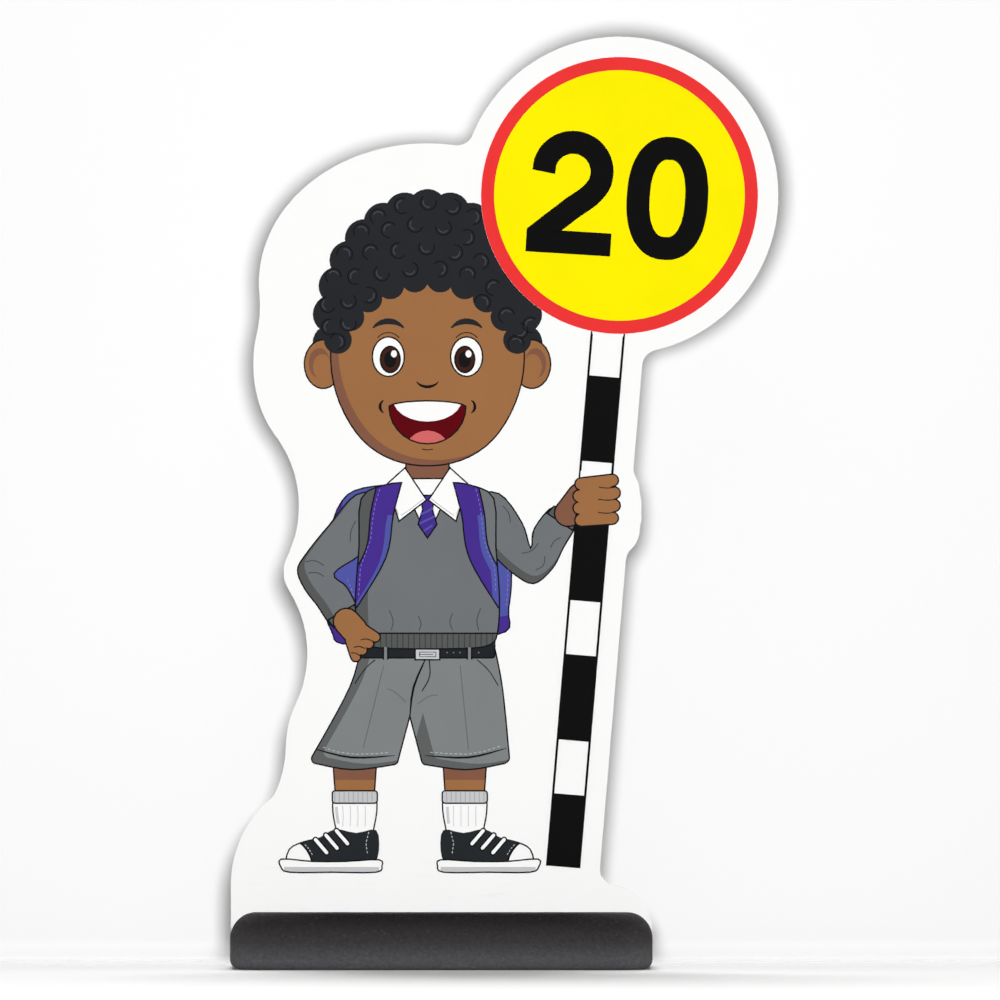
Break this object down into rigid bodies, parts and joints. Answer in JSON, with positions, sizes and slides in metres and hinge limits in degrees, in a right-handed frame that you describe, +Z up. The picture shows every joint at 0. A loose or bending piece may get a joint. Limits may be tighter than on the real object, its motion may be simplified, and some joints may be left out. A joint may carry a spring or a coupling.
{
  "type": "child cutout pavement sign",
  "caption": "Free-standing pavement sign: flat board cut to the outline of a schoolchild holding a round sign on a banded pole, stood in a slotted rubber base.",
  "frame": {"origin": "middle of the base's underside, on the ground", "axes": "+X to the right as seen from the printed front, which faces -Y, and +Z up"},
  "size_m": [0.5875, 0.24, 0.9995],
  "materials": {
    "recycled_rubber": "matt moulded rubber with a fine granule texture",
    "white_board": "satin foamed-plastic sheet, white through its thickness",
    "red_print": "satin printed film",
    "yellow_print": "satin printed film",
    "black_print": "satin printed film",
    "outline_print": "satin printed film",
    "hair_print": "satin printed film",
    "skin_print": "satin printed film",
    "skin_shade_print": "satin printed film",
    "eye_print": "satin printed film",
    "mouth_print": "satin printed film",
    "tongue_print": "satin printed film",
    "jumper_print": "satin printed film",
    "jumper_shade_print": "satin printed film",
    "violet_print": "satin printed film",
    "blue_print": "satin printed film",
    "belt_print": "satin printed film",
    "shorts_print": "satin printed film",
    "shorts_shade_print": "satin printed film",
    "light_grey_print": "satin printed film",
    "shoe_print": "satin printed film"
  },
  "bodies": {
    "root": {"base": "recycled_rubber", "board": "white_board", "disc_ring": "red_print", "disc_face": "yellow_print", "pole_bands": "black_print", "print_outline": "outline_print", "print_hair": "hair_print", "print_skin": "skin_print", "print_skin_shade": "skin_shade_print", "print_eyes": "eye_print", "print_mouth": "mouth_print", "print_tongue": "tongue_print", "print_jumper": "jumper_print", "print_jumper_shade": "jumper_shade_print", "print_violet": "violet_print", "print_blue": "blue_print", "print_belt": "belt_print", "print_shorts": "shorts_print", "print_shorts_shade": "shorts_shade_print", "print_light_grey": "light_grey_print", "print_shoes": "shoe_print"}
  },
  "joints": []
}
